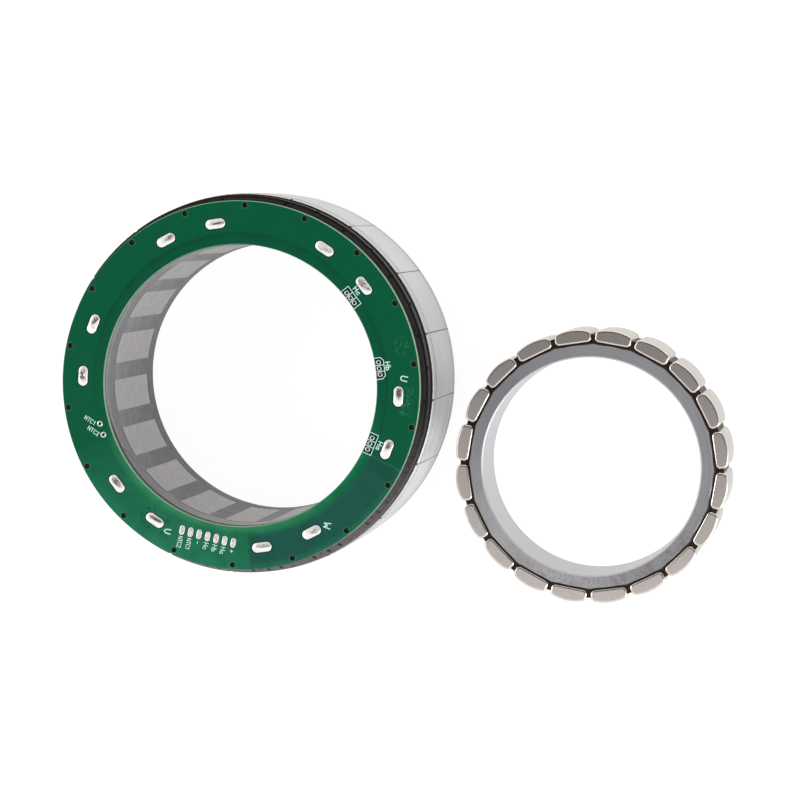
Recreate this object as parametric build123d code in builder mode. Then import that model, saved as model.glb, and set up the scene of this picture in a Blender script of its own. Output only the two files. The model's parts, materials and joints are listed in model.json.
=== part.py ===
from build123d import *
from math import cos, degrees, radians, sin, sqrt, tan
import os

# Frameless motor kit: a potted, segmented stator and, beside it, its magnet rotor.
# Origin on the stator's axis, at the plane that both rings stand on. +Z up, millimetres.

# Stator, driving sizes
core_diameter = 80.0
core_length = 23.6
core_turn = -1.8
phases = "uvw"
groups_per_phase = 2
coils_per_group = 3

# Laminated tooth segments
back_iron = 3.4
tooth_length = 7.3
tooth_width = 4.8
join_depth = 0.85
slot_opening = 3.65
tip_edge = 1.2
tip_depth = 2.2
tip_chamfer = 0.4
outer_chamfer = 0.25
relief_depth = 0.1
relief_length = 3.1
seam_gap = 0.04
seam_chamfer = 0.16
key_radius = 0.6
key_clearance = 0.03

# Moulded end insulators
flange_thickness = 0.7
liner_thickness = 0.35
wall_inset = 3.1
wall_lower_step = 0.5
wall_middle_step = 1.05
wall_middle_height = 1.1
wall_top_height = 1.7
tab_thickness = 0.6
tab_side = 0.8
tab_gap = 0.1
tab_rise = 0.4
tab_cover = 0.1
liner_inset = 0.1
liner_stop = 0.5
notch_width = 0.7
notch_depth = 0.35
notch_height = 0.6

# Windings
winding_clearance = 0.05
winding_gap = 0.5
end_turn = 2.3
end_turn_gap = 0.15
coil_tip_gap = 0.2
coil_end_gap = 0.8
coil_corner = 2.0
window_corner = 0.1
lead_diameter = 1.0

# Circuit board
board_standoff = 2.85
board_thickness = 0.8
board_inset = 1.6
board_bore_margin = 0.05
peg_circle_inset = 0.95
peg_diameter = 0.7
peg_clearance = 0.1
peg_height = 0.5
joint_inset = 4.5
joint_spread = 9.5
joint_length = 4.4
joint_width = 2.2
joint_height = 0.45
joint_slot_margin = 0.4
joint_round = 0.35
solder_fit = 0.04
signal_pad_count = 7
signal_pad_pitch = 1.89
signal_pad_inset = 3.0
signal_pad_angle = 270.0
signal_pad_length = 2.07
signal_pad_width = 1.1
signal_pad_height = 0.15

# Sensors under the board
hall_angles = {"a": 350.0, "b": 20.0, "c": 50.0}
hall_lead_inset = 0.8
hall_lead_count = 3
hall_lead_pitch = 1.27
hall_width = 4.1
hall_thickness = 1.5
hall_height = 3.0
hall_face_offset = 0.43
hall_bevel = 0.5
hall_drop = 1.6
hall_lead_size = 0.38
lead_clearance = 0.06
lead_stub = 0.12
pocket_clearance = 0.06
thermistor_angle = 210.0
thermistor_inset = 2.0
thermistor_lead_count = 2
thermistor_lead_pitch = 2.4
thermistor_length = 3.6
thermistor_diameter = 1.5
thermistor_round = 0.5
thermistor_gap = 0.15
thermistor_lead = 0.45

# Cast resin
collar_thickness = 0.7
collar_gap = 0.15
resin_back = 0.5
slot_fill_depth = 1.5
resin_fit = 0.05

# Rotor, driving sizes
ring_gap = 4.0
rotor_y = -1.8
air_gap = 0.3
magnet_count = 20
magnet_turn = 2.7
yoke_thickness = 2.78
yoke_height = 14.5
yoke_chamfer = 0.3
magnet_thickness = 3.1
magnet_gap = 0.4
magnet_inset = 0.1
magnet_crown_radius = 10.0
magnet_corner = 1.0
magnet_shoulder = 1.1
magnet_edge = 0.3
glue_film = 0.12
glue_depth = 1.9
glue_recess = 0.5

# Counts and levels that follow
group_count = len(phases) * groups_per_phase
tooth_count = group_count * coils_per_group
tooth_pitch = 360 / tooth_count
winding_height = flange_thickness + winding_clearance + end_turn
core_back = winding_height + end_turn_gap + resin_back
core_front = core_back + core_length
front_height = winding_height + board_standoff
board_bottom = core_front + front_height
board_top = board_bottom + board_thickness

# Stator radii that follow
core_radius = core_diameter / 2
iron_inner_radius = core_radius - back_iron
bore_radius = iron_inner_radius - tooth_length
join_radius = iron_inner_radius + join_depth
flange_radius = core_radius - outer_chamfer
wall_inner_radius = core_radius - wall_inset
wall_lower_radius = core_radius - wall_lower_step
wall_middle_radius = core_radius - wall_middle_step
tip_angle = tooth_pitch / 2 - degrees(slot_opening / 2 / bore_radius)
tip_root = bore_radius + tip_depth
tab_radius = bore_radius + collar_thickness + tab_gap
coil_inner_x = tip_root + coil_tip_gap
coil_outer_x = iron_inner_radius - coil_end_gap
board_radius = core_radius - board_inset
board_bore = bore_radius + board_bore_margin
peg_circle = board_radius - peg_circle_inset
joint_radius = board_radius - joint_inset
signal_pad_distance = board_bore + signal_pad_inset
hall_lead_radius = board_bore + hall_lead_inset
thermistor_lead_radius = board_bore + thermistor_inset

# Rotor sizes that follow
rotor_radius = bore_radius - air_gap
rotor_x = core_radius + ring_gap + rotor_radius
magnet_seat = rotor_radius - magnet_thickness
magnet_width = 2 * magnet_seat * tan(radians(180 / magnet_count)) - magnet_gap
magnet_length = yoke_height - 2 * magnet_inset
yoke_flat = magnet_seat - glue_film
yoke_bore_radius = yoke_flat - yoke_thickness


def turned(angle, height=0.0):
    """Level plane round the stator axis, X axis at an angle."""
    direction = (cos(radians(angle)), sin(radians(angle)), 0)
    return Plane(origin=(0, 0, height), x_dir=direction, z_dir=(0, 0, 1))


def rotor_plane(angle=0.0, height=0.0):
    """Level plane round the rotor axis, X axis at an angle."""
    direction = (cos(radians(angle)), sin(radians(angle)), 0)
    return Plane(origin=(rotor_x, rotor_y, height), x_dir=direction, z_dir=(0, 0, 1))


def save(part, name):
    part.label = name
    export_step(part, f"parts/{name}.step")


def tooth_angle(index):
    return core_turn + index * tooth_pitch


def magnet_angle(index):
    return magnet_turn + index * 360 / magnet_count


# Core segments: one laminated tooth with its arc of back iron, keyed to its neighbours
def core_segment():
    half = tooth_pitch / 2
    apex = seam_gap / 2 / sin(radians(half))
    reach = core_radius / cos(radians(half))
    tip = (bore_radius * cos(radians(tip_angle)), bore_radius * sin(radians(tip_angle)))
    tip_back = bore_radius + tip_edge
    tip_outer = (tip_back * cos(radians(tip_angle)), tip_back * sin(radians(tip_angle)))
    root = (tip_root, tooth_width / 2)
    joined = (join_radius, tooth_width / 2)
    key_distance = iron_inner_radius + back_iron / 2
    key = (key_distance * cos(radians(half)), key_distance * sin(radians(half)))

    with BuildPart() as segment:
        with BuildSketch(Plane.XY.offset(core_back)) as outline:
            Circle(core_radius)
            Circle(iron_inner_radius, mode=Mode.SUBTRACT)
            with BuildLine():
                edge_up = (apex + reach * cos(radians(half)), reach * sin(radians(half)))
                edge_down = (edge_up[0], -edge_up[1])
                Polyline((apex, 0), edge_up, edge_down, close=True)
            make_face(mode=Mode.INTERSECT)
            corners = outline.vertices().sort_by_distance((0, 0))[-2:]
            chamfer(corners, length=seam_chamfer)
            with BuildLine():
                Polyline(tip, tip_outer, root, joined)
                mirror(about=Plane.XZ)
                Line(joined, (joined[0], -joined[1]))
                ThreePointArc((tip[0], -tip[1]), (bore_radius, 0), tip)
            make_face()
            with Locations(key):
                Circle(key_radius)
            with Locations((key[0], -key[1])):
                Circle(key_radius + key_clearance, mode=Mode.SUBTRACT)
        extrude(amount=core_length)
        for level in (core_back, core_front - relief_length):
            with BuildSketch(Plane.XY.offset(level)):
                Circle(core_radius + relief_depth)
                Circle(core_radius - relief_depth, mode=Mode.SUBTRACT)
            extrude(amount=relief_length, mode=Mode.SUBTRACT)
        for level in (core_back, core_front):
            end_edges = segment.edges().filter_by_position(Axis.Z, level, level)
            arcs = end_edges.filter_by(GeomType.CIRCLE)
            chamfer(arcs.sort_by(SortBy.RADIUS)[-1], length=outer_chamfer)
            end_edges = segment.edges().filter_by_position(Axis.Z, level, level)
            arcs = end_edges.filter_by(GeomType.CIRCLE)
            chamfer(arcs.sort_by_distance((0, 0, level))[0], length=tip_chamfer)
    return segment.part


# End insulators: a flange on the core, a sleeve round each tooth, tabs and an outer wall
def end_insulator(face, outward, tab_height, tiers):
    sleeve_length = core_length / 2
    liner_start = tip_root + liner_inset
    liner_length = iron_inner_radius - liner_stop - liner_start
    liner_offset = tooth_width / 2 + liner_thickness / 2
    flange_top = face + outward * flange_thickness
    points = [(iron_inner_radius, face)]
    for index, (radius, top) in enumerate(tiers):
        below = tiers[index - 1][1] if index else 0
        points += [(radius, face + outward * below), (radius, face + outward * top)]
    points += [(wall_inner_radius, face + outward * tiers[-1][1])]
    points += [(wall_inner_radius, flange_top), (iron_inner_radius, flange_top)]

    with BuildPart() as insulator:
        with BuildSketch(Plane.XZ):
            with BuildLine():
                Polyline(*points, close=True)
            make_face()
        revolve(axis=Axis.Z)
        with Locations((0, 0, face + outward * flange_thickness / 2)):
            with PolarLocations((tab_radius + join_radius) / 2, tooth_count, start_angle=core_turn):
                Box(join_radius - tab_radius, tooth_width + 2 * liner_thickness, flange_thickness)
        with Locations((0, 0, face + outward * tab_height / 2)):
            with PolarLocations(tab_radius + tab_thickness / 2, tooth_count, start_angle=core_turn):
                Box(tab_thickness, tooth_width + 2 * tab_side, tab_height)
        with Locations((0, 0, face - outward * sleeve_length / 2)):
            with PolarLocations(liner_start + liner_length / 2, tooth_count, start_angle=core_turn):
                with Locations((0, liner_offset, 0), (0, -liner_offset, 0)):
                    Box(liner_length, liner_thickness, sleeve_length)
    return insulator.part


def front_insulator():
    middle_top = front_height - wall_top_height
    lower_top = middle_top - wall_middle_height
    shoulders = [(wall_lower_radius, lower_top), (wall_middle_radius, middle_top)]
    tiers = [(flange_radius, flange_thickness), *shoulders, (board_radius, front_height)]
    tab_height = flange_thickness + end_turn + tab_rise
    with BuildPart() as insulator:
        add(end_insulator(core_front, 1, tab_height, tiers))
        for turn, (radius, top) in zip((0, tooth_pitch / 2), shoulders):
            with Locations((0, 0, core_front + top - notch_height / 2)):
                with PolarLocations(radius, tooth_count, start_angle=core_turn + turn):
                    Box(2 * notch_depth, notch_width, notch_height, mode=Mode.SUBTRACT)
        with BuildSketch(Plane.XY.offset(board_bottom)):
            with PolarLocations(peg_circle, tooth_count):
                Circle(peg_diameter / 2)
        extrude(amount=peg_height)
        for angle in hall_angles.values():
            add(hall_pocket(angle), mode=Mode.SUBTRACT)
    save(insulator.part, "front_insulator")


def rear_insulator():
    tiers = [(flange_radius, flange_thickness), (wall_lower_radius, core_back / 2)]
    tiers += [(wall_middle_radius, core_back)]
    tab_height = core_back - resin_back - tab_cover
    save(end_insulator(core_back, -1, tab_height, tiers), "rear_insulator")


# Space kept round a sensor body, open up to the board
def hall_pocket(angle):
    low = board_bottom - hall_drop - hall_height - pocket_clearance
    with BuildPart() as pocket:
        with BuildSketch(turned(angle, low)):
            with Locations((hall_lead_radius - hall_face_offset + hall_thickness / 2, 0)):
                Rectangle(hall_thickness + 2 * pocket_clearance, hall_width + 2 * pocket_clearance)
        extrude(amount=board_bottom - low)
    return pocket.part


# Windings: a tapered coil on each tooth, three neighbours to a group, two groups to a phase
def coil():
    middle = (core_back + core_front) / 2
    window_width = tooth_width + 2 * (liner_thickness + winding_clearance)
    window_height = core_length + 2 * (flange_thickness + winding_clearance)
    inner_end = Plane(origin=(coil_inner_x, 0, middle), x_dir=(0, 1, 0), z_dir=(1, 0, 0))
    outer_end = inner_end.offset(coil_outer_x - coil_inner_x)
    slot_slope = tan(radians(tooth_pitch / 2))
    with BuildPart() as turns:
        with BuildSketch(inner_end):
            RectangleRounded(2 * coil_inner_x * slot_slope - winding_gap,
                             window_height + 2 * end_turn, coil_corner)
        with BuildSketch(outer_end):
            RectangleRounded(2 * coil_outer_x * slot_slope - winding_gap,
                             window_height + 2 * end_turn, coil_corner)
        loft()
        with BuildSketch(inner_end):
            RectangleRounded(window_width, window_height, window_corner)
        extrude(amount=coil_outer_x - coil_inner_x, mode=Mode.SUBTRACT)
    return turns.part


def phase_winding(name, groups):
    turns = coil()
    with BuildPart() as winding:
        for group in groups:
            first = coils_per_group * group - coils_per_group // 2
            for tooth in range(first, first + coils_per_group):
                add(turns.rotate(Axis.Z, tooth_angle(tooth)))
            for angle in joint_angles([group]):
                with BuildSketch(turned(angle, core_front + flange_thickness + winding_clearance)):
                    with Locations((joint_radius, 0)):
                        Circle(lead_diameter / 2)
                extrude(amount=front_height - flange_thickness - winding_clearance)
    save(winding.part, name)


def joint_angles(groups):
    middles = [group * coils_per_group * tooth_pitch for group in groups]
    return [middle + side * joint_spread for middle in middles for side in (-1, 1)]


# Circuit board ring with its peg holes, lead slots and sensor holes
def circuit_board():
    slot_length = joint_length - 2 * joint_slot_margin
    slot_width = joint_width - 2 * joint_slot_margin
    hall_hole = hall_lead_size * sqrt(2) + 2 * lead_clearance
    thermistor_hole = thermistor_lead + 2 * lead_clearance
    with BuildPart() as board:
        with BuildSketch(Plane.XY.offset(board_bottom)):
            Circle(board_radius)
            Circle(board_bore, mode=Mode.SUBTRACT)
            with PolarLocations(peg_circle, tooth_count):
                Circle(peg_diameter / 2 + peg_clearance, mode=Mode.SUBTRACT)
            for angle in joint_angles(range(group_count)):
                with PolarLocations(joint_radius, 1, start_angle=angle):
                    SlotOverall(slot_length, slot_width, rotation=90, mode=Mode.SUBTRACT)
            for angle in hall_angles.values():
                with PolarLocations(hall_lead_radius, 1, start_angle=angle):
                    with GridLocations(0, hall_lead_pitch, 1, hall_lead_count):
                        Circle(hall_hole / 2, mode=Mode.SUBTRACT)
            with PolarLocations(thermistor_lead_radius, 1, start_angle=thermistor_angle):
                with GridLocations(0, thermistor_lead_pitch, 1, thermistor_lead_count):
                    Circle(thermistor_hole / 2, mode=Mode.SUBTRACT)
        extrude(amount=board_thickness)
    save(board.part, "circuit_board")


# Solder joints: a plug through each lead slot under a rounded head
def solder_joints(name, groups):
    slot_length = joint_length - 2 * joint_slot_margin - solder_fit
    slot_width = joint_width - 2 * joint_slot_margin - solder_fit
    with BuildPart() as joints:
        for angle in joint_angles(groups):
            with BuildSketch(turned(angle, board_bottom)):
                with Locations((joint_radius, 0)):
                    SlotOverall(slot_length, slot_width, rotation=90)
            extrude(amount=board_thickness)
            with BuildSketch(turned(angle, board_top)):
                with Locations((joint_radius, 0)):
                    SlotOverall(joint_length, joint_width, rotation=90)
            extrude(amount=joint_height)
        fillet(joints.edges().group_by(Axis.Z)[-1], radius=joint_round)
    save(joints.part, name)


# Tinned signal pads: a straight row on the board
def signal_pads():
    with BuildPart() as pads:
        with BuildSketch(turned(signal_pad_angle, board_top)):
            with Locations((signal_pad_distance, 0)):
                with GridLocations(0, signal_pad_pitch, 1, signal_pad_count):
                    SlotOverall(signal_pad_length, signal_pad_width)
        extrude(amount=signal_pad_height)
    save(pads.part, "signal_pads")


# Hall sensors: a bevelled body hung from three leads, its face to the bore
def hall_sensor(name, angle):
    body_top = board_bottom - hall_drop
    face = hall_lead_radius - hall_face_offset
    back = face + hall_thickness
    side = hall_width / 2
    with BuildPart() as sensor:
        with BuildSketch(turned(angle, body_top - hall_height)):
            with BuildLine():
                Polyline((face, -side), (back - hall_bevel, -side), (back, -side + hall_bevel),
                         (back, side - hall_bevel), (back - hall_bevel, side), (face, side), close=True)
            make_face()
        extrude(amount=hall_height)
        with BuildSketch(turned(angle, body_top)):
            with Locations((hall_lead_radius, 0)):
                with GridLocations(0, hall_lead_pitch, 1, hall_lead_count):
                    Rectangle(hall_lead_size, hall_lead_size)
        extrude(amount=board_top + lead_stub - body_top)
    save(sensor.part, name)


# Thermistor: a bead lying between two coils, on two leads from the board
def thermistor():
    bead_height = core_front + winding_height + thermistor_gap + thermistor_diameter / 2
    facing = Vector(cos(radians(thermistor_angle)), sin(radians(thermistor_angle)), 0)
    sideways = Vector(-facing.Y, facing.X, 0)
    middle = facing * thermistor_lead_radius + Vector(0, 0, bead_height)
    with BuildPart() as bead:
        with BuildSketch(Plane(origin=middle, x_dir=facing, z_dir=sideways)):
            Circle(thermistor_diameter / 2)
        extrude(amount=thermistor_length / 2, both=True)
        fillet(bead.edges().filter_by(GeomType.CIRCLE), radius=thermistor_round)
        with BuildSketch(turned(thermistor_angle, bead_height)):
            with Locations((thermistor_lead_radius, 0)):
                with GridLocations(0, thermistor_lead_pitch, 1, thermistor_lead_count):
                    Circle(thermistor_lead / 2)
        extrude(amount=board_top + lead_stub - bead_height)
    save(bead.part, "thermistor")


# Cast resin: the back face, a collar at each end of the bore and the fill of each slot mouth
def potting():
    half = tooth_pitch / 2 - tip_angle
    depth = bore_radius + slot_fill_depth
    inner = (bore_radius * cos(radians(half)), bore_radius * sin(radians(half)))
    outer = (depth * cos(radians(half)), depth * sin(radians(half)))
    with BuildPart() as resin:
        with BuildSketch(Plane.XY):
            Circle(wall_inner_radius - resin_fit)
            Circle(bore_radius, mode=Mode.SUBTRACT)
        extrude(amount=resin_back)
        for low, high in ((0, core_back), (core_front, board_bottom - collar_gap)):
            with BuildSketch(Plane.XY.offset(low)):
                Circle(bore_radius + collar_thickness)
                Circle(bore_radius, mode=Mode.SUBTRACT)
            extrude(amount=high - low)
        for index in range(tooth_count):
            with BuildSketch(turned(tooth_angle(index) + tooth_pitch / 2, core_back)):
                with BuildLine():
                    Polyline(inner, outer, (outer[0], -outer[1]), (inner[0], -inner[1]))
                    ThreePointArc((inner[0], -inner[1]), (bore_radius, 0), inner)
                make_face()
            extrude(amount=core_length)
        for angle in hall_angles.values():
            add(hall_pocket(angle), mode=Mode.SUBTRACT)
    save(resin.part, "potting")


# Rotor yoke: a turned ring with a flat for each magnet
def rotor_yoke():
    with BuildPart() as yoke:
        with BuildSketch(rotor_plane(magnet_turn)):
            RegularPolygon(yoke_flat, magnet_count, major_radius=False, rotation=180 / magnet_count)
            Circle(yoke_bore_radius, mode=Mode.SUBTRACT)
        extrude(amount=yoke_height)
        ends = yoke.edges().group_by(Axis.Z)
        chamfer(ends[0] + ends[-1], length=yoke_chamfer)
    save(yoke.part, "rotor_yoke")


# Magnet outline: flat seat, crowned face, rounded corners
def magnet_outline(plane):
    side = magnet_width / 2
    crown_drop = magnet_crown_radius - sqrt(magnet_crown_radius ** 2 - side ** 2)
    shoulder = rotor_radius - crown_drop
    with BuildSketch(plane) as outline:
        with BuildLine():
            Polyline((shoulder, side), (magnet_seat, side), (magnet_seat, -side), (shoulder, -side))
            ThreePointArc((shoulder, -side), (rotor_radius, 0), (shoulder, side))
        make_face()
        corners = outline.vertices().group_by(Axis.X)
        fillet(corners[0], radius=magnet_corner)
        fillet(outline.vertices().group_by(Axis.X)[-1], radius=magnet_shoulder)
    return outline.sketch


def magnet():
    with BuildPart() as block:
        extrude(magnet_outline(rotor_plane(0, magnet_inset)), amount=magnet_length)
        ends = block.edges().group_by(Axis.Z)
        chamfer(ends[0] + ends[-1], length=magnet_edge)
    return block.part


# Adhesive: a film under the magnets and a rib between each two, short of both ends
def magnet_adhesive():
    with BuildPart() as glue:
        with BuildSketch(rotor_plane(magnet_turn, glue_recess)):
            Circle(magnet_seat + glue_depth)
            RegularPolygon(yoke_flat, magnet_count, major_radius=False, rotation=180 / magnet_count,
                           mode=Mode.SUBTRACT)
        extrude(amount=yoke_height - 2 * glue_recess)
        for index in range(magnet_count):
            outline = magnet_outline(rotor_plane(magnet_angle(index)))
            extrude(outline, amount=yoke_height, mode=Mode.SUBTRACT)
    save(glue.part, "magnet_adhesive")


segment = core_segment()
for index in range(tooth_count):
    save(segment.rotate(Axis.Z, tooth_angle(index)), f"core_segment_{index + 1:02d}")
front_insulator()
rear_insulator()
for index, phase in enumerate(phases):
    groups = range(index, group_count, len(phases))
    phase_winding(f"phase_{phase}_winding", groups)
    solder_joints(f"phase_{phase}_solder", groups)
circuit_board()
signal_pads()
for letter, angle in hall_angles.items():
    hall_sensor(f"hall_sensor_{letter}", angle)
thermistor()
potting()
rotor_yoke()
block = magnet()
rotor_axis = Axis((rotor_x, rotor_y, 0), (0, 0, 1))
for index in range(magnet_count):
    save(block.rotate(rotor_axis, magnet_angle(index)), f"magnet_{index + 1:02d}")
magnet_adhesive()
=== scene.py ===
# %% [markdown]
# # A frameless motor, dressed for its portrait
#
# The CAD model gives every part its true shape and place: the laminated core, the two
# moulded insulators, the coils, the circuit board, the cast resin and the magnet ring.
# Here Blender gives them their finishes, the blobs of solder, the printed legend, a floor,
# lights and a camera. A frameless motor has no housing of its own, so all that a buyer
# sees is bare steel, resin, nickel and a green board.

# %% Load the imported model
import json
import math
import random
from functools import partialmethod

import bmesh
import bpy
from mathutils import Matrix, Vector
from mathutils.geometry import delaunay_2d_cdt


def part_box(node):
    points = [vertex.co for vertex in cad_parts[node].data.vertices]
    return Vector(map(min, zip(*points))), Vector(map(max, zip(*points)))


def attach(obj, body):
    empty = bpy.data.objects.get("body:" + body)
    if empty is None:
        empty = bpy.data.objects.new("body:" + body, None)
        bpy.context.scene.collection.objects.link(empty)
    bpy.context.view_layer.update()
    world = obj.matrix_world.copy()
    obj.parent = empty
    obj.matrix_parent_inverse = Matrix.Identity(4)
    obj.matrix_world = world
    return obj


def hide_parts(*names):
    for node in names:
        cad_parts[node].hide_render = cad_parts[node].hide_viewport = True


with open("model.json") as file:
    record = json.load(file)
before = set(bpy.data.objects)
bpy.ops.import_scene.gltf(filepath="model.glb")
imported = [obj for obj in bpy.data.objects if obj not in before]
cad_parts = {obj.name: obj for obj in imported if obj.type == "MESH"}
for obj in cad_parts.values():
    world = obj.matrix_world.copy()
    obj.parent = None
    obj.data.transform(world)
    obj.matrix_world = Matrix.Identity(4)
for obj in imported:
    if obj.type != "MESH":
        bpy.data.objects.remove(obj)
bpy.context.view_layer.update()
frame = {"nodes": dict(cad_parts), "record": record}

# %% [markdown]
# ## Sizes that the finishes need
#
# A finish such as a dark seam or a pale ring has to fall on the shape that carries it.
# These are the CAD model's own sizes, in millimetres, measured from the stator's axis.

# %% Sizes shared by the finishes
MM = 0.001
slot_pitch = 20.0
seam_angle = 8.2
core_radius = 40.0
core_back, core_front = 3.7, 27.3
relief_back, relief_front = 6.8, 24.2
bore_radius = 29.3
board_bottom, board_top = 33.2, 34.0
board_radius, board_bore = 38.4, 29.35
peg_circle = 37.45
joint_circle, joint_length, joint_width = 33.9, 4.4, 2.2
joint_spread, joint_groups = 9.5, 6
pad_row, pad_pitch, pad_count = 32.35, 1.89, 7
pad_length, pad_width = 2.07, 1.1
rotor_x, rotor_y = 73.0, -1.8
rotor_radius, rotor_height = 29.0, 14.5
magnet_count, magnet_turn = 20, 2.7
magnet_pitch = 360 / magnet_count
print("core", 2 * core_radius, "mm across; rotor", rotor_height, "mm high")

# %% [markdown]
# ## Fields: numbers that change over a surface
#
# A shader node tree is a sum written as boxes and wires. Drawing forty Math nodes by hand
# is slow to read, so a small class lets the sum be written as a sum: adding two fields
# makes an Add node and wires it up. The tree that comes out is an ordinary one, and can
# be opened and edited in Blender's shader editor.

# %% Fields and the nodes behind them
def plug(socket, value):
    """Puts a field, a socket, a colour or a plain number into an input socket."""
    if isinstance(value, Field):
        value = value.socket
    if isinstance(value, bpy.types.NodeSocket):
        socket.id_data.links.new(value, socket)
    elif isinstance(value, tuple) and len(value) == 3 and socket.type == "RGBA":
        socket.default_value = (*value, 1.0)
    else:
        socket.default_value = value


def add(tree, kind, inputs=None, **settings):
    """Makes one shader node, sets its options and fills its inputs by name."""
    node = tree.nodes.new("ShaderNode" + kind)
    for name, value in settings.items():
        setattr(node, name, value)
    for name, value in (inputs or {}).items():
        plug(node.inputs[name], value)
    return node


class Field:
    """One number that varies over a surface."""

    def __init__(self, socket):
        self.tree, self.socket = socket.id_data, socket

    def math(self, operation, other=0.0, swapped=False):
        """One Math node on this number and another; swapped puts the other one first."""
        node = add(self.tree, "Math", operation=operation)
        plug(node.inputs[1 if swapped else 0], self)
        plug(node.inputs[0 if swapped else 1], other)
        return Field(node.outputs[0])

    __add__ = __radd__ = partialmethod(math, "ADD")
    __sub__ = partialmethod(math, "SUBTRACT")
    __rsub__ = partialmethod(math, "SUBTRACT", swapped=True)
    __mul__ = __rmul__ = partialmethod(math, "MULTIPLY")
    __truediv__ = partialmethod(math, "DIVIDE")
    highest = partialmethod(math, "MAXIMUM")
    size = partialmethod(math, "ABSOLUTE")

    def folded(self, step):
        """Distance along a repeat of that step, from minus half a step to half a step."""
        return (self + step / 2).math("FLOORED_MODULO", step) - step / 2

    def over(self, edge, soft):
        """0 below the edge and 1 above it, with a smooth change that wide."""
        node = add(self.tree, "MapRange", {"Value": self, "From Min": edge - soft / 2,
                                           "From Max": edge + soft / 2},
                   interpolation_type="SMOOTHSTEP")
        return Field(node.outputs[0])

    def under(self, edge, soft):
        return 1.0 - self.over(edge, soft)

    def within(self, low, high, soft):
        return self.over(low, soft) * self.under(high, soft)

    def line(self, place, reach, soft):
        """1 on a value and that far to each side of it, and 0 elsewhere."""
        return (self - place).size().under(reach, soft)

    def near(self, direction, reach, soft):
        """The same for an angle in degrees, which starts again after a full turn."""
        return (self - direction).folded(360.0).size().under(reach, soft)

    def arc(self, circle):
        """For an angle in degrees: its length along a circle of that radius."""
        return self * (math.pi / 180 * circle)


def distance(x, y):
    """How far a point lies from the middle of a plane, where x and y are 0."""
    return (x * x + y * y).math("SQRT")


def painted(colour, *layers):
    """Lays colours over one another: each layer is a mask and the colour it brings."""
    for mask, layer in layers:
        node = add(mask.tree, "Mix", data_type="RGBA", clamp_factor=True)
        for index, value in ((0, mask), (6, colour), (7, layer)):
            plug(node.inputs[index], value)
        colour = node.outputs[2]
    return colour


def blank_material(name):
    """A material with nothing in its node tree: returns both."""
    material = bpy.data.materials.new(name)
    material.use_nodes = True
    material.node_tree.nodes.clear()
    return material, material.node_tree


def new_material(name, slot, metallic=0.0, specular=0.5):
    """A material with its Principled shader: returns the material and its node tree."""
    material, tree = blank_material(name)
    shader = add(tree, "BsdfPrincipled", {"Metallic": metallic, "Specular IOR Level": specular})
    add(tree, "OutputMaterial", {"Surface": shader.outputs["BSDF"]})
    material["slot"] = slot
    return material, tree


def coat(material, colour, roughness, height, depth, **others):
    """Wires colour, roughness and relief into a material; depth is the relief in mm."""
    tree = material.node_tree
    bump = add(tree, "Bump", {"Height": height, "Distance": depth * MM, "Strength": 1.0})
    values = {"Base Color": colour, "Roughness": roughness, "Normal": bump.outputs["Normal"]}
    for name, value in {**values, **others}.items():
        plug(tree.nodes["Principled BSDF"].inputs[name.replace("_", " ")], value)
    print(material.name, "takes", len(tree.nodes), "nodes")


# %% [markdown]
# ## Effects that several finishes share
#
# Four node groups are built once and placed wherever they are needed. A name in Python can't
# hold a space, so where an input's label has one, the name has a low line.
#
# - `ring place` tells where a point is on a ring: how far from an axis, at what angle, and
#   at what height. Nearly everything on a motor repeats round its axis, so nearly every
#   mask below is a line or two of these numbers.
# - `fine grain` is the speckle that ground, tumbled or cast surfaces have.
# - `tool marks` are thin lines along one direction, such as the rings of a lathe tool or
#   the edges of steel sheets in a stack.
# - `smudges` are the soft patches left by handling and wiping.

# %% The node groups
def new_group(name, inputs, outputs):
    """A node group with named inputs (label to default value) and float outputs."""
    tree = bpy.data.node_groups.new(name, "ShaderNodeTree")
    for label, value in inputs.items():
        socket = tree.interface.new_socket(label, in_out="INPUT", socket_type="NodeSocketFloat")
        socket.default_value = value
    for label in outputs:
        tree.interface.new_socket(label, in_out="OUTPUT", socket_type="NodeSocketFloat")
    start, end = tree.nodes.new("NodeGroupInput"), tree.nodes.new("NodeGroupOutput")
    given = {label: Field(start.outputs[label]) for label in inputs}

    def give(**values):
        for label, value in values.items():
            plug(end.inputs[label], value)

    return tree, given, give


def use(tree, group, **values):
    """Places a group, fills the inputs of those names, and returns its output or outputs."""
    node = tree.nodes.new("ShaderNodeGroup")
    node.node_tree = bpy.data.node_groups[group]
    for name, value in values.items():
        plug(node.inputs[name.replace("_", " ")], value)
    fields = [Field(socket) for socket in node.outputs]
    return fields if len(fields) > 1 else fields[0]


def coordinates(tree, kind):
    """The x, y and z of one kind of texture coordinate."""
    split = add(tree, "SeparateXYZ", {0: add(tree, "TexCoord").outputs[kind]})
    return [Field(socket) for socket in split.outputs]


def position(tree):
    """The point's own place in millimetres, as x, y and z fields."""
    return [axis / MM for axis in coordinates(tree, "Object")]


def noise(x, y, z, scale, detail=2.0, roughness=0.5):
    """Cloudy noise from 0 to 1; x is a field, y and z are fields or numbers."""
    place = add(x.tree, "CombineXYZ", {0: x, 1: y, 2: z})
    node = add(x.tree, "TexNoise", {"Vector": place.outputs[0], "Scale": scale,
                                    "Detail": detail, "Roughness": roughness})
    return Field(node.outputs[0])


tree, given, give = new_group("ring place", {"Centre X": 0.0, "Centre Y": 0.0},
                              ["Radius", "Angle", "Height", "Up", "Out"])
x, y, z = position(tree)
x, y = x - given["Centre X"], y - given["Centre Y"]
radius = distance(x, y)
angle = y.math("ARCTAN2", x) * (180.0 / math.pi)
normal_x, normal_y, normal_z = coordinates(tree, "Normal")
give(Radius=radius, Angle=angle.math("FLOORED_MODULO", 360.0), Height=z,
     Up=normal_z, Out=(normal_x * x + normal_y * y) / radius)

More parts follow.
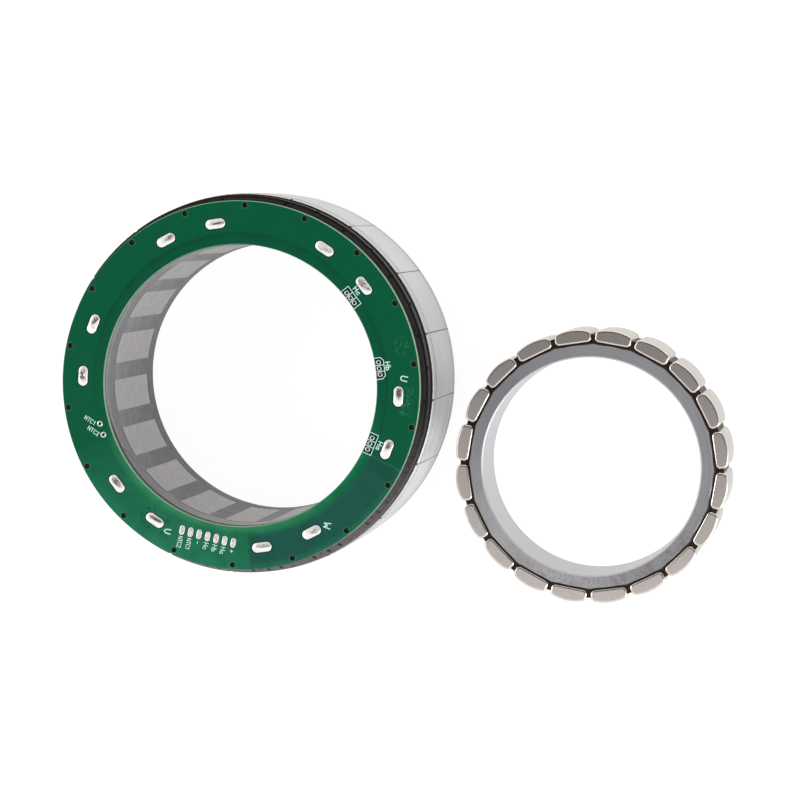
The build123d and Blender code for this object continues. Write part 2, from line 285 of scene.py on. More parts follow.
tree, given, give = new_group("fine grain", {"Size": 0.2, "Stretch": 1.0}, ["Grain", "Patches"])
x, y, z = (axis / given["Size"] for axis in position(tree))
give(Grain=noise(x, y, z * given["Stretch"], 1.0, 3.0, 0.6),
     Patches=noise(x, y, z, 0.12))

tree, given, give = new_group("tool marks", {"Along": 0.0, "Round": 0.0, "Pitch": 0.3}, ["Marks"])
line = given["Along"] / given["Pitch"]
give(Marks=noise(line, given["Round"] * 0.02, 0.0, 1.0, 3.0, 0.7))

tree, given, give = new_group("smudges", {"Size": 6.0, "Amount": 0.5}, ["Mask"])
x, y, z = (axis / given["Size"] for axis in position(tree))
cloud = noise(x, y, z, 1.0, 5.0, 0.6)
give(Mask=((cloud - 0.72) + given["Amount"] * 0.45).over(0.1, 0.2))
print("node groups:", ", ".join(group.name for group in bpy.data.node_groups))

# %% [markdown]
# ## Core steel
#
# The core is a stack of thin steel sheets, pressed into 18 segments. Its outside is ground
# round, so it is pale and satin, with the edges of the sheets as very faint lines. The two
# end bands are ground a hair lower; a painted shade line follows each step, stronger on the
# right, and the face that looks up at each step is painted pale and not metallic away from
# the right. Oil and dirt stay in the seams between segments, and gather at their ends.
# Painted light makes the outside paler on the right just below the rotor, painted shade
# darkens it a little above, and the back band takes painted shade near the floor. The front
# chamfer is painted darker, with a painted cream highlight on its upper side. In the bore
# the ground tooth faces look greyer, with cool and warm stains, and a painted shade line
# runs along their front edge under the collar. All of this is read from the radius, height
# and angle, so the 18 segments share one material.

# %% Masks of the core
core_steel, tree = new_material("core steel", "core_steel", metallic=0.85)
radius, angle, height, up, _ = use(tree, "ring place")
grain, patches = use(tree, "fine grain", Size=0.35, Stretch=0.5)
sheets = use(tree, "tool marks", Along=height, Round=angle, Pitch=0.5)
wipe = use(tree, "smudges", Size=9.0, Amount=0.55)
outside = radius.over(core_radius - 1.0, 0.4)
bore = radius.under(bore_radius + 0.7, 0.3)
seam = (angle - seam_angle).folded(slot_pitch).size().arc(core_radius)
seam_end = height.over(core_front - 0.5, 0.2) + height.under(core_back + 0.5, 0.2)
seam_dirt = (seam.under(0.09, 0.1) * 0.75).highest(seam_end * seam.under(0.28, 0.14)) * outside
near_right = angle.near(3.0, 24.0, 24.0)
# painted shade: a dark line along each step of the ground bands, stronger on the right
step_shade = height.line(relief_front, 0.1, 0.12) * near_right * 0.4 \
    + height.line(relief_back, 0.1, 0.12) * (0.3 + near_right * 0.3)
# painted shade darkens the front chamfer all round, and a painted cream highlight lies on its upper
# side
chamfer = up.within(0.3, 0.95, 0.2) * height.over(core_front - 0.4, 0.1) * outside
chamfer_highlight_side = angle.near(62.0, 42.0, 20.0)
# painted shade on the outside a little above the rotor, and painted light just below it
shade_above_rotor = angle.near(24.0, 17.0, 26.0)
light_below_rotor = angle.near(-8.0, 13.0, 20.0)
# painted light: the face that looks up at each step is pale and not metallic away from the right, so
# it mirrors no dark line
step_face = up.over(0.9, 0.1) * outside
# painted shade: a dark line along the front edge of the teeth, under the collar
tooth_edge_shade = height.over(core_front - 0.42, 0.1) * bore
stain = noise(*position(tree), 0.4, 3.0)

# %% Core steel
colour = painted(
    (0.665, 0.66, 0.665),
    (patches * 0.5, (0.61, 0.605, 0.61)),
    (height.over(relief_front, 0.1) * outside, (0.56, 0.555, 0.56)),
    (light_below_rotor * outside * 0.8, (0.93, 0.92, 0.96)),
    # the back band, ground lower, also takes painted shade near the floor
    (height.under(relief_back, 0.1) * outside, (0.43, 0.43, 0.44)),
    (height.within(relief_back, 12.0, 2.0) * outside * 0.35, (0.57, 0.57, 0.585)),
    (sheets.over(0.55, 0.3) * 0.16, (0.42, 0.42, 0.43)),
    (wipe * 0.22, (0.54, 0.53, 0.54)),
    (shade_above_rotor * outside * 0.6, (0.46, 0.455, 0.46)),
    (step_face * (1.0 - near_right), (0.80, 0.79, 0.77)),
    (step_shade * outside, (0.30, 0.29, 0.30)),
    (chamfer * 0.85, (0.45, 0.44, 0.44)),
    (chamfer * chamfer_highlight_side * 0.85, (0.86, 0.80, 0.68)),
    (bore, (0.475, 0.462, 0.468)),
    (bore * stain.over(0.53, 0.14) * 0.45, (0.53, 0.50, 0.46)),
    (bore * stain.under(0.45, 0.14) * 0.45, (0.42, 0.415, 0.435)),
    (bore * grain.over(0.5, 0.3) * 0.3, (0.40, 0.388, 0.39)),
    (tooth_edge_shade * 0.85, (0.11, 0.075, 0.07)),
    (seam_dirt, (0.09, 0.08, 0.08)))
coat(core_steel, colour, 0.42 + grain * 0.12 + bore * 0.15,
     sheets + grain * 0.6, 0.012, Metallic=0.85 - step_face * 0.85)

# %% [markdown]
# ## Moulded insulators
#
# The end caps are moulded in black glass-filled plastic. A film of resin greys the top
# shoulder all round. Painted light makes the shoulders and the wall paler, browner grey on
# the lower side, the wall mottled by that film, while the rest stays black. Three small dark
# notches a segment break that paler side. A painted bluish highlight runs round the edge of
# the lower shoulder on the upper right and is broken once a segment.

# %% Insulator moulding
insulator_moulding, tree = new_material("insulator moulding", "insulator_plastic", specular=0.25)
radius, angle, height, up, _ = use(tree, "ring place")
grain, _ = use(tree, "fine grain", Size=0.25)
film = use(tree, "smudges", Size=3.0, Amount=0.9)
outer_wall = radius.over(board_radius - 0.1, 0.05) * height.over(core_front, 0.1)
rim = up.over(0.7, 0.2) * height.within(31.2, 31.8, 0.1) * outer_wall
shoulder = up.over(0.7, 0.2) * height.under(31.0, 0.1) * outer_wall
# painted light: the shoulders and the wall are paler, browner grey on the lower side
lower_light_side = angle.near(292.0, 46.0, 64.0)
from_seam = (angle - seam_angle).folded(slot_pitch)
# painted highlight: a bluish line along the lower shoulder's edge on the upper right, broken at each
# seam
shoulder_highlight = radius.line(39.44, 0.07, 0.06) * height.within(30.1, 30.6, 0.1) \
    * from_seam.size().over(0.7, 0.4) * angle.near(45.0, 40.0, 20.0)
notch_places = (-2.7, 2.3, 6.3)      # degrees from a seam
notch = height.within(30.2, 31.7, 0.1) * radius.within(38.6, 39.3, 0.15) \
    * sum(from_seam.line(place, 0.4, 0.3) for place in notch_places)
colour = painted(
    (0.013, 0.011, 0.010),
    (grain.over(0.5, 0.4) * 0.6, (0.024, 0.021, 0.020)),
    (rim * (0.1 + film * 0.2), (0.10, 0.092, 0.095)),
    (outer_wall * lower_light_side * (0.6 + film * 0.3), (0.135, 0.124, 0.13)),
    ((rim + shoulder) * lower_light_side * 0.85, (0.27, 0.235, 0.225)),
    (notch * lower_light_side * 0.9, (0.012, 0.011, 0.011)),
    (shoulder_highlight * 0.25, (0.16, 0.175, 0.21)))
coat(insulator_moulding, colour, 0.45 + grain * 0.2, grain, 0.012)

# %% [markdown]
# ## Coil wire
#
# The coils are enamelled copper wire. They are nearly hidden by the caps, the board and
# the resin, but they show in a cut-away. Their turns run round each tooth, so fine lines
# at a constant radius stand for the layers of wire.

# %% Coil wire
coil_wire, tree = new_material("coil wire", "winding_copper", metallic=0.8)
radius, _, height, *_ = use(tree, "ring place")
turns = use(tree, "tool marks", Along=radius, Round=height, Pitch=0.35)
_, patches = use(tree, "fine grain", Size=0.4)
colour = painted(
    (0.66, 0.27, 0.10),
    (turns.over(0.5, 0.3) * 0.6, (0.36, 0.12, 0.045)),
    (patches * 0.4, (0.50, 0.20, 0.08)))
coat(coil_wire, colour, 0.3 + turns * 0.2, turns, 0.05)

# %% [markdown]
# ## The circuit board
#
# Solder mask is a clear green lacquer over copper and glass cloth. Over copper it looks
# even and deep; over bare glass cloth it is lighter where light comes through it. So the
# picture of the copper is painted in zones: a ring of track near the bore, and pours that
# end at straight gaps. The mask stops short of both edges, which leaves a pale line of
# laminate. Faint rings surround the peg holes, whose walls are painted dark as shade. A
# dark moat, a gap in the mask whose dark colour is a painted shadow line, surrounds each
# soldered joint and pad. The sensor pads lie in dark windows, and the iron leaves smudges
# by some joints.

# %% Masks of the board
board_mask, tree = new_material("solder mask", "board_green", specular=0.12)
radius, angle, height, up, _ = use(tree, "ring place")
grain, patches = use(tree, "fine grain", Size=0.3)
film = use(tree, "smudges", Size=5.0, Amount=0.6)
x, y, _ = position(tree)
top = up.over(0.7, 0.2) * height.over(board_top - 0.1, 0.05)


def stadium(along, across, length, width):
    """Distance from a rounded bar's edge, in mm; along and across are from its centre."""
    beyond = (along.size() - (length - width) / 2).highest(0.0)
    return distance(beyond, across) - width / 2


to_joint = angle.folded(360.0 / joint_groups).size() - joint_spread
joint_edge = stadium(to_joint.arc(joint_circle), radius - joint_circle,
                     joint_length, joint_width)
pad_edge = stadium(y + pad_row, x.folded(pad_pitch), pad_length, pad_width)
in_row = x.size().under(pad_pitch * pad_count / 2, 0.02)
# a gap in the mask round each joint and pad; its dark colour is a painted shadow line
moat = joint_edge.under(0.11, 0.14).highest(pad_edge.under(0.1, 0.1) * in_row)

to_hole = distance(angle.folded(slot_pitch).arc(peg_circle), radius - peg_circle)
hole_shade = to_hole.under(0.56, 0.08)
hole_ring = to_hole.within(0.56, 0.72, 0.12)
window_side = (angle - 20.0).folded(30.0).arc(radius)
window = window_side.size().under(2.15, 0.1) * radius.under(31.2, 0.1) * angle.near(20.0, 45.0, 1.0)
print("board masks use", len(tree.nodes), "nodes")

# %% Marks of the track and the iron
track_radius = 31.45
track_step = radius.line(track_radius, 0.09, 0.12)
track_shade = radius.within(30.9, 32.0, 0.5) * angle.near(95.0, 80.0, 50.0)
inner_ring = radius.under(track_radius - 0.3, 0.5)
low = angle.near(262.0, 72.0, 60.0)
pale_zone = angle.within(214.0, 286.0, 2.0) * angle.over(226.0, 50.0)
teal_zone = angle.within(286.0, 346.0, 1.0)
glow_side = angle.near(320.0, 36.0, 24.0)
bottom_side = angle.near(270.0, 46.0, 40.0)
edge_line = radius.over(board_radius - 0.13, 0.08) * (0.12 + angle.near(45.0, 88.0, 40.0) * 0.88)
gap_line = (angle.near(346.0, 0.18, 0.2) + angle.near(286.0, 0.1, 0.2) * 0.5
            + (angle - 192.8 - (radius - 32.0) * 0.48).size().under(0.12, 0.15) * 0.5) \
    * radius.over(track_radius, 0.2)
gap_shade = angle.within(341.0, 346.0, 3.0) * radius.over(track_radius, 0.2)
soot = noise(x, y, 0.0, 1.1, 3.0, 0.6).over(0.52, 0.08) * joint_edge.within(0.4, 1.3, 0.4) \
    * angle.near(251.0, 8.0, 4.0).highest(angle.within(284.0, 318.0, 6.0) * 0.6)
flux_cloud = noise(x, y, 3.0, 0.75)
flux = flux_cloud.line(0.52, 0.014, 0.018) * radius.within(34.2, 37.0, 0.5) \
    * (angle.near(26.5, 2.8, 1.5) + angle.near(8.0, 4.5, 2.0))

# %% Solder mask colours
colour = painted(
    (0.0006, 0.098, 0.041),
    (inner_ring * (1.0 - low) * 0.8, (0.0008, 0.082, 0.038)),
    (track_shade * 0.55, (0.0006, 0.062, 0.032)),
    (track_step * (1.0 - low) * 0.8, (0.0006, 0.036, 0.022)),
    (pale_zone * 0.9, (0.016, 0.172, 0.088)),
    (pale_zone * radius.under(30.6, 1.6) * 0.6, (0.05, 0.26, 0.11)),
    (pale_zone * radius.over(37.0, 2.2) * 0.5, (0.02, 0.205, 0.118)),
    (teal_zone, (0.012, 0.088, 0.068)),
    (glow_side * inner_ring * 0.8, (0.0015, 0.135, 0.052)),
    (glow_side * radius.under(30.3, 1.2) * 0.6, (0.002, 0.20, 0.075)),
    (bottom_side * inner_ring * 0.85, (0.010, 0.165, 0.075)),
    (bottom_side * radius.under(30.4, 1.5) * 0.6, (0.05, 0.26, 0.11)),
    (teal_zone * radius.over(37.4, 1.5) * 0.6, (0.02, 0.17, 0.105)),
    (track_step * teal_zone * 0.35, (0.02, 0.20, 0.11)),
    (film * 0.2, (0.002, 0.115, 0.052)),
    (patches.over(0.5, 0.4) * 0.25, (0.0006, 0.082, 0.033)),
    (gap_shade * 0.4, (0.004, 0.060, 0.030)),
    (gap_line * 0.5, (0.03, 0.17, 0.10)),
    (soot * 0.4, (0.0006, 0.045, 0.024)),
    (flux * 0.55, (0.07, 0.25, 0.15)),
    (window * 0.8, (0.002, 0.026, 0.020)),
    (moat * 0.9, (0.002, 0.018, 0.010)),
    (hole_ring * 0.35, (0.16, 0.20, 0.10)),
    (hole_shade * 0.92, (0.003, 0.004, 0.003)))
sunlit = 0.35 + low * 0.45
colour = painted(
    colour,
    (edge_line, (0.27, 0.47, 0.27)),
    (edge_line * glow_side * 0.8, (0.21, 0.29, 0.25)),
    (radius.under(board_bore + 0.13, 0.1) * sunlit, (0.26, 0.46, 0.30)))
# painted shade: the walls of the peg holes are dark
shaded_hole_wall = radius.within(36.5, board_radius - 0.2, 0.1)
glass_cloth = painted(
    (0.40, 0.54, 0.40),
    (grain.over(0.5, 0.3) * 0.4, (0.26, 0.38, 0.27)),
    (shaded_hole_wall, (0.006, 0.007, 0.006)))
colour = painted(glass_cloth, (top, colour))
coat(board_mask, colour, 0.26 + grain * 0.1 + (1.0 - top) * 0.3,
     grain * 0.3 + radius.over(track_radius, 0.3) * (1.0 - moat) * top, 0.02)

# %% [markdown]
# ## Nickel plated magnets
#
# Sintered magnets are tumbled and then nickel plated, so they are satin with a slightly
# warm tone, a fine mottle on the flat ends and bright rounded edges, which a painted
# highlight makes paler and warmer. Seen at a slant the plate mirrors a little less than the
# shader would, so its tint is lowered. No two magnets come out of the barrel the same: the
# angle round the ring gives each its own shade.

# %% Nickel plate
nickel_plate, tree = new_material("nickel plate", "magnet_nickel", metallic=1.0)
_, angle, _, up, _ = use(tree, "ring place", Centre_X=rotor_x, Centre_Y=rotor_y)
grain, _ = use(tree, "fine grain", Size=0.22)
wipe = use(tree, "smudges", Size=4.0, Amount=0.5)
index = ((angle - magnet_turn + magnet_pitch / 2) / magnet_pitch).math("FLOOR")
shade = Field(add(tree, "TexWhiteNoise", {"W": index}, noise_dimensions="1D").outputs[0])
end_face = up.size().over(0.96, 0.05)
# painted highlight: the rounded edges are paler and warmer than the faces
rim_highlight = up.size().within(0.2, 0.94, 0.15)
colour = painted(
    (0.60, 0.575, 0.53),
    (end_face, (0.65, 0.595, 0.57)),
    (shade * 0.2, (0.56, 0.53, 0.51)),
    (end_face * grain.over(0.52, 0.25) * 0.3, (0.42, 0.38, 0.355)),
    (wipe * 0.15, (0.52, 0.50, 0.48)),
    (rim_highlight, (0.80, 0.72, 0.64)))
coat(nickel_plate, colour, 0.22 + grain * 0.08, grain, 0.002,
     Specular_Tint=(0.88, 0.87, 0.85))

# %% [markdown]
# ## Turned yoke
#
# The yoke is a turned steel ring. Its end face keeps the fine rings of the tool and the
# brown smudges of handling, and painted light makes it paler on the lowest side. The bore
# is smoother and paler, and a little darker at its foot.

# %% Turned steel
turned_steel, tree = new_material("turned steel", "yoke_steel", metallic=0.9)
radius, angle, height, up, out = use(tree, "ring place", Centre_X=rotor_x, Centre_Y=rotor_y)
grain, _ = use(tree, "fine grain", Size=0.3)
rings = use(tree, "tool marks", Along=radius, Round=angle, Pitch=0.12)
wipe = use(tree, "smudges", Size=4.5, Amount=0.62)
low = angle.near(300.0, 48.0, 50.0)
end_face = up.size().over(0.9, 0.1)
bore = (out * -1.0).over(0.8, 0.2)
turned_ring = radius.line(24.9, 0.12, 0.2) * angle.near(10.0, 60.0, 40.0)
# painted light: the end face is paler on the lowest side
lit_lowest_side = angle.near(240.0, 48.0, 50.0)
glue_edge = radius.over(25.55, 0.1) * end_face.under(0.5, 0.4)
colour = painted(
    (0.60, 0.60, 0.61),
    (end_face, (0.37, 0.37, 0.395)),
    (end_face * lit_lowest_side * 0.9, (0.52, 0.515, 0.53)),
    (end_face * rings.over(0.5, 0.3) * 0.3, (0.28, 0.28, 0.30)),
    (end_face * turned_ring * 0.4, (0.26, 0.26, 0.28)),
    (end_face * wipe * (0.12 + low * 0.6), (0.25, 0.215, 0.205)),
    (grain.over(0.56, 0.2) * end_face * (0.15 + low * 0.5), (0.22, 0.19, 0.18)),
    (bore * height.under(1.6, 0.8) * 0.3, (0.48, 0.48, 0.49)),
    (glue_edge, (0.055, 0.045, 0.040)))
coat(turned_steel, colour, 0.46 + grain * 0.12, rings, 0.012)

# %% [markdown]
# ## Resin and glue
#
# Both are cast in place. The potting resin is a grey, mineral-filled epoxy with a satin
# skin: cloudy, with small pits, and darker in the slot mouths than on the collars. A painted
# shadow blackens the resin just under the board, deeper and darker on one side. One fine
# crack runs down to a tooth, where the skin shrank. Painted light makes the collar paler at
# the bottom of the picture, and painted shade darkens it at the left. The glue between the
# magnets is nearly black and glossy, with a brown glow where it is thin.

# %% Cast resin
cast_resin, tree = new_material("cast resin", "potting_resin")
_, angle, height, *_ = use(tree, "ring place")
grain, patches = use(tree, "fine grain", Size=0.3)
cloud = use(tree, "smudges", Size=3.0, Amount=0.8)
front = height.over(26.6, 0.5)
back = height.under(4.3, 0.4)
# painted shadow: the resin just under the board is black, deeper and darker on one side
deep_shadow_side = angle.within(206.0, 316.0, 16.0)
under_board_shadow = height.over(board_bottom - 0.5 - deep_shadow_side * 0.75, 0.2) * (0.35 + deep_shadow_side * 0.65)
# painted light makes the collar paler at the bottom, and painted shade darkens it at the left
collar_light_side = angle.near(286.0, 30.0, 36.0)
collar_shade_side = angle.near(180.0, 50.0, 40.0)
crack_round = (angle - 229.0).arc(bore_radius)
crack = distance(crack_round, height - 33.4).line(4.6, 0.1, 0.1) \
    * angle.within(219.5, 228.5, 0.8) * front
colour = painted(
    (0.235, 0.23, 0.24),
    (front, (0.315, 0.305, 0.325)),
    (back, (0.27, 0.265, 0.27)),
    (cloud * 0.5, (0.31, 0.30, 0.305)),
    (patches.over(0.5, 0.25) * 0.6, (0.185, 0.185, 0.19)),
    (grain.over(0.6, 0.15) * 0.35, (0.14, 0.14, 0.145)),
    (front * collar_light_side * 0.8, (0.47, 0.455, 0.455)),
    (front * collar_shade_side * height.under(31.2, 1.6) * 0.7, (0.155, 0.155, 0.165)),
    (under_board_shadow, (0.012, 0.011, 0.011)),
    (crack * 0.85, (0.04, 0.035, 0.035)))
coat(cast_resin, colour, 0.48 + grain * 0.15, grain, 0.015)

# %% Magnet glue
magnet_glue, tree = new_material("magnet glue", "adhesive", specular=0.15)
grain, _ = use(tree, "fine grain", Size=0.6)
colour = painted(
    (0.016, 0.009, 0.005),
    (grain.over(0.5, 0.3) * 0.6, (0.055, 0.028, 0.012)))
coat(magnet_glue, colour, 0.35 + grain * 0.2, grain, 0.05)

# %% [markdown]
# ## Sensors
#
# Three small black epoxy packages hang under the board on three leads each, and a dipped
# bead reads the coils' heat. The leads are tinned, and their cut ends on the board look
# dark, so height above the board switches the finish.

# %% Sensor bodies and leads
def sensor_finish(name, slot, body, lead_from, roughness):
    """Black epoxy that turns into tinned lead above a height; body is its colour."""
    material, tree = new_material(name, slot)
    grain, _ = use(tree, "fine grain", Size=0.2)
    height = position(tree)[2]
    lead = height.over(lead_from, 0.1)
    cut_end = height.over(board_top + 0.03, 0.04)
    colour = painted(
        body,
        (grain.over(0.55, 0.3) * 0.5, tuple(2.2 * c for c in body)),
        (lead, (0.62, 0.61, 0.60)),
        (cut_end, (0.012, 0.012, 0.012)))
    coat(material, colour, roughness + grain * 0.15, grain, 0.01,
         Metallic=lead * (1.0 - cut_end) * 0.9)


sensor_finish("sensor epoxy", "sensor_plastic", (0.022, 0.022, 0.024), 31.7, 0.42)
sensor_finish("bead epoxy", "thermistor_epoxy", (0.020, 0.013, 0.011), 31.0, 0.18)

# %% [markdown]
# ## Solder and ink
#
# Tin solder freezes with a fine white skin, a little mottled, that scatters light.
# Flux burns into the hollows and turns them brown, so the sculpted blobs below carry a
# "hollow" value at each point, and this finish darkens by it. The legend is thick white
# ink, printed a little unevenly.

# %% Bright solder
bright_solder, tree = new_material("bright solder", "solder", metallic=0.3)
grain, patches = use(tree, "fine grain", Size=0.18)
mottle, _ = use(tree, "fine grain", Size=0.42)
hollow = Field(add(tree, "Attribute", attribute_name="hollow").outputs["Fac"])
colour = painted(
    (0.97, 0.95, 0.94),
    (patches * 0.25, (0.90, 0.86, 0.86)),
    (mottle.over(0.56, 0.12) * 0.35, (0.60, 0.55, 0.55)),
    (hollow * (0.55 + mottle.over(0.47, 0.2) * 0.9), (0.16, 0.127, 0.115)),
    (hollow.over(0.55, 0.6) * patches.over(0.5, 0.2) * 0.7, (0.06, 0.042, 0.036)))
coat(bright_solder, colour, 0.30 + grain * 0.08 + hollow * 0.15, grain, 0.004)

# %% Tinned pads
pad_tin, tree = new_material("tinned pads", "pad_tin", metallic=0.9)
grain, _ = use(tree, "fine grain", Size=0.15)
colour = painted((0.86, 0.86, 0.845), (grain.over(0.5, 0.3) * 0.4, (0.64, 0.63, 0.62)))
coat(pad_tin, colour, 0.28 + grain * 0.15, grain, 0.01)

# %% Legend ink
legend_ink, tree = new_material("legend ink", "legend_ink")
grain, _ = use(tree, "fine grain", Size=0.12)
colour = painted((0.64, 0.93, 0.84), (grain.over(0.55, 0.2) * 0.35, (0.48, 0.76, 0.67)))
coat(legend_ink, colour, 0.55 + grain * 0.1, grain, 0.008)

# %% [markdown]
# ## Give each CAD node its finish
#
# A node whose shape is right stays as it is, and only its material changes. The model's
# record names the slot of each node, and each finish above was made for one slot.

# %% Dress the CAD nodes
def dress(piece, finish):
    if piece.material_slots:
        for slot in piece.material_slots:
            slot.material = finish
    else:
        piece.data.materials.append(finish)


finishes = {material["slot"]: material for material in bpy.data.materials if "slot" in material}
for part in frame["record"]["subparts"]:
    dress(frame["nodes"][part["node"]], finishes[part["material_slot"]])


# %% [markdown]
# ## Sculpted solder
#
# In CAD a solder joint is an oval plug with a rounded head. A real one is a blob that froze
# while it flowed: round over its length, with one broad hollow or crease where the copper
# drew it down and flux burnt in. Each blob is a fan of rings over its oval, lifted by a
# crown and pushed down in its hollow. Its plug goes down through the board's slot. No two
# joints are alike, so a short table says where each one's hollow lies: how far clockwise
# and outward, its half length and half width, its lean, its depth and how burnt it is.

# %% One solder blob
blob_rings, blob_spokes = 26, 72
blob_lift, plug_narrower, headroom = 0.02, 0.8, 0.03
sharp_edge = math.radians(50)


def stadium_point(turn, length, width):
    """The point of a rounded bar's outline in that direction from its centre."""
    c, s = math.cos(turn), math.sin(turn)
    half, end = (length - width) / 2, width / 2
    if abs(c) * end <= half * abs(s):
        return Vector((c / abs(s) * end, math.copysign(end, s)))
    reach = half * abs(c) + math.sqrt(max(end * end - (half * s) ** 2, 0.0))
    return Vector((c * reach, s * reach))


def bridge(bm, rows):
    """Joins each closed row of vertices to the next one with faces."""
    for row, following in zip(rows, rows[1:]):
        for i in range(len(row)):
            j = (i + 1) % len(row)
            bm.faces.new((row[i], following[i], following[j], row[j]))


def crown_height(x, y, edge, hollows):
    """Height from 0 to 1 and burnt colour from 0 to 1; edge is 0 in the middle, 1 at the rim."""
    height, burnt = 0.94 * (1.0 - edge ** 2.2) ** 0.5, 0.0
    for along, across, half_length, half_width, lean, depth, burn in hollows:
        side = y - across - lean * (x - along)
        reach = ((x - along) / half_length) ** 2 + (side / half_width) ** 2
        height -= depth * math.exp(-reach) * (1.0 - edge ** 4)
        tint = burn * math.exp(-(reach / 2.3) ** 1.8)
        burnt = max(burnt + min(tint, 0.0), tint)
    return min(max(height, 0.0), 1.0), burnt


def add_blob(bm, layer, centre, turn, length, width, base, crown, form, plug_depth=0.0):
    """Adds one blob to a mesh. All lengths are in mm; turn is the long side's direction."""
    spokes = [2 * math.pi * i / blob_spokes for i in range(blob_spokes)]
    place = Matrix.Translation((*centre, base)) @ Matrix.Rotation(turn, 4, "Z")
    rows = []

    def dome(x, y, edge):
        height, hollow = crown_height(x, y, edge, form)
        vertex = bm.verts.new((place @ Vector((x, y, blob_lift + height * crown))) * MM)
        vertex[layer] = hollow * (1.0 - edge ** 8)
        return vertex

    for ring in range(1, blob_rings + 1):
        edge = math.sin(ring / blob_rings * math.pi / 2)
        rows.append([dome(*(stadium_point(spoke, length, width) * edge), edge) for spoke in spokes])
    middle = dome(0.0, 0.0, 0.0)
    skirt = [(0.0, 0.0)]
    if plug_depth:
        skirt += [(plug_narrower, 0.0), (plug_narrower, -plug_depth)]
    for narrower, level in skirt:
        rim = [stadium_point(spoke, length - narrower, width - narrower) for spoke in spokes]
        rows.append([bm.verts.new((place @ Vector((*point, level))) * MM) for point in rim])
    bridge(bm, rows)
    for i, corner in enumerate(rows[0]):
        bm.faces.new((middle, corner, rows[0][(i + 1) % blob_spokes]))
    bm.faces.new(rows[-1][::-1])


def placed(name, data):
    """An object in the scene that shows that mesh, lamp or camera."""
    thing = bpy.data.objects.new(name, data)
    bpy.context.scene.collection.objects.link(thing)
    return thing


def built(name, bm, finish):
    """Turns a mesh under construction into an object with that finish."""
    mesh = bpy.data.meshes.new(name)
    bm.to_mesh(mesh)
    bm.free()
    thing = placed(name, mesh)
    dress(thing, finish)
    return thing


def new_piece(name, bm, finish, body, smooth=True):
    """A built object that rides on a body and wears that finish, with the slot it names."""
    bmesh.ops.recalc_face_normals(bm, faces=bm.faces)
    piece = built(name, bm, finish)
    if smooth:
        piece.data.shade_smooth()
        piece.data.set_sharp_from_angle(angle=sharp_edge)
    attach(piece, body)
    print(name, "has", sum(len(face.vertices) - 2 for face in piece.data.polygons), "triangles")
    return piece


# %% Solder on the twelve coil ends
phases = {"u": (0, 3), "v": (1, 4), "w": (2, 5)}
joint_hollows = {
    (0, -1): [(-0.95, 0.1, 0.65, 0.42, -0.3, 0.12, 0.75)],
    (0, 1): [(-0.75, 0.15, 0.85, 0.45, 0.0, 0.15, 0.85)],
    (1, -1): [(-0.5, 0.05, 1.0, 0.5, 0.15, 0.15, 0.6), (1.15, 0.42, 0.4, 0.14, 0.2, 0.03, 0.8)],
    (1, 1): [(0.1, -0.05, 1.4, 0.3, 0.2, 0.1, 0.35)],
    (2, -1): [(0.75, 0.02, 1.3, 0.17, 0.0, 0.08, 0.75)],
    (2, 1): [(1.0, 0.1, 0.8, 0.3, 0.1, 0.1, 0.6)],
    (3, -1): [(1.05, -0.2, 0.75, 0.35, -0.35, 0.12, 0.85), (-0.7, -0.35, 0.1, 0.1, 0.0, 0.02, 0.8)],
    (3, 1): [(0.25, 0.05, 0.8, 0.5, 0.0, 0.15, 0.85), (0.25, -0.5, 0.2, 0.2, 0.0, -0.2, -2.0)],
    (4, -1): [(0.35, -0.2, 0.95, 0.4, 0.1, 0.12, 0.75)],
    (4, 1): [(-0.1, -0.42, 1.2, 0.26, 0.1, 0.12, 0.8)],
    (5, -1): [(-0.6, -0.3, 1.3, 0.24, 0.0, 0.1, 0.55)],
    (5, 1): [(-0.9, 0.05, 0.75, 0.35, 0.0, 0.1, 0.5)],
}
blob_length, blob_width = joint_length - 0.2, joint_width - 0.16
for phase, groups in phases.items():
    bm = bmesh.new()
    layer = bm.verts.layers.float.new("hollow")
    low_corner, high_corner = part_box(f"phase_{phase}_solder")
    for group in groups:
        for side in (-1, 1):
            at = math.radians(group * 360 / joint_groups + side * joint_spread)
            centre = (joint_circle * math.cos(at), joint_circle * math.sin(at))
            add_blob(bm, layer, centre, at - math.pi / 2, blob_length, blob_width, board_top,
                     high_corner.z / MM - board_top - headroom, joint_hollows[group, side],
                     plug_depth=board_top - low_corner.z / MM)
    piece = new_piece(f"phase_{phase}_solder_blobs", bm, bright_solder, "stator")
    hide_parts(f"phase_{phase}_solder")

# %% [markdown]
# ## Pads and rings
#
# The seven signal pads are tinned by dipping, which leaves a low pillow of solder on each.
# Each sensor lead stands in a small tinned ring. They are made like the blobs, but low and
# even, and the rings are turned profiles.

# %% Signal pads
bm = bmesh.new()
layer = bm.verts.layers.float.new("hollow")
low_corner, high_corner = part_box("signal_pads")
chance = random.Random(18)
for i in range(pad_count):
    dent = [(chance.uniform(-0.2, 0.2), 0.0, 1.2, 0.5, chance.uniform(-0.1, 0.1), 0.05, 0.3)]
    add_blob(bm, layer, ((i - (pad_count - 1) / 2) * pad_pitch, -pad_row), math.pi / 2,
             pad_length, pad_width, board_top, high_corner.z / MM - board_top - headroom, dent)
piece = new_piece("signal_pad_pillows", bm, bright_solder, "stator")
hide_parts("signal_pads")


# %% Rings round the sensor leads
ring_spokes = 40


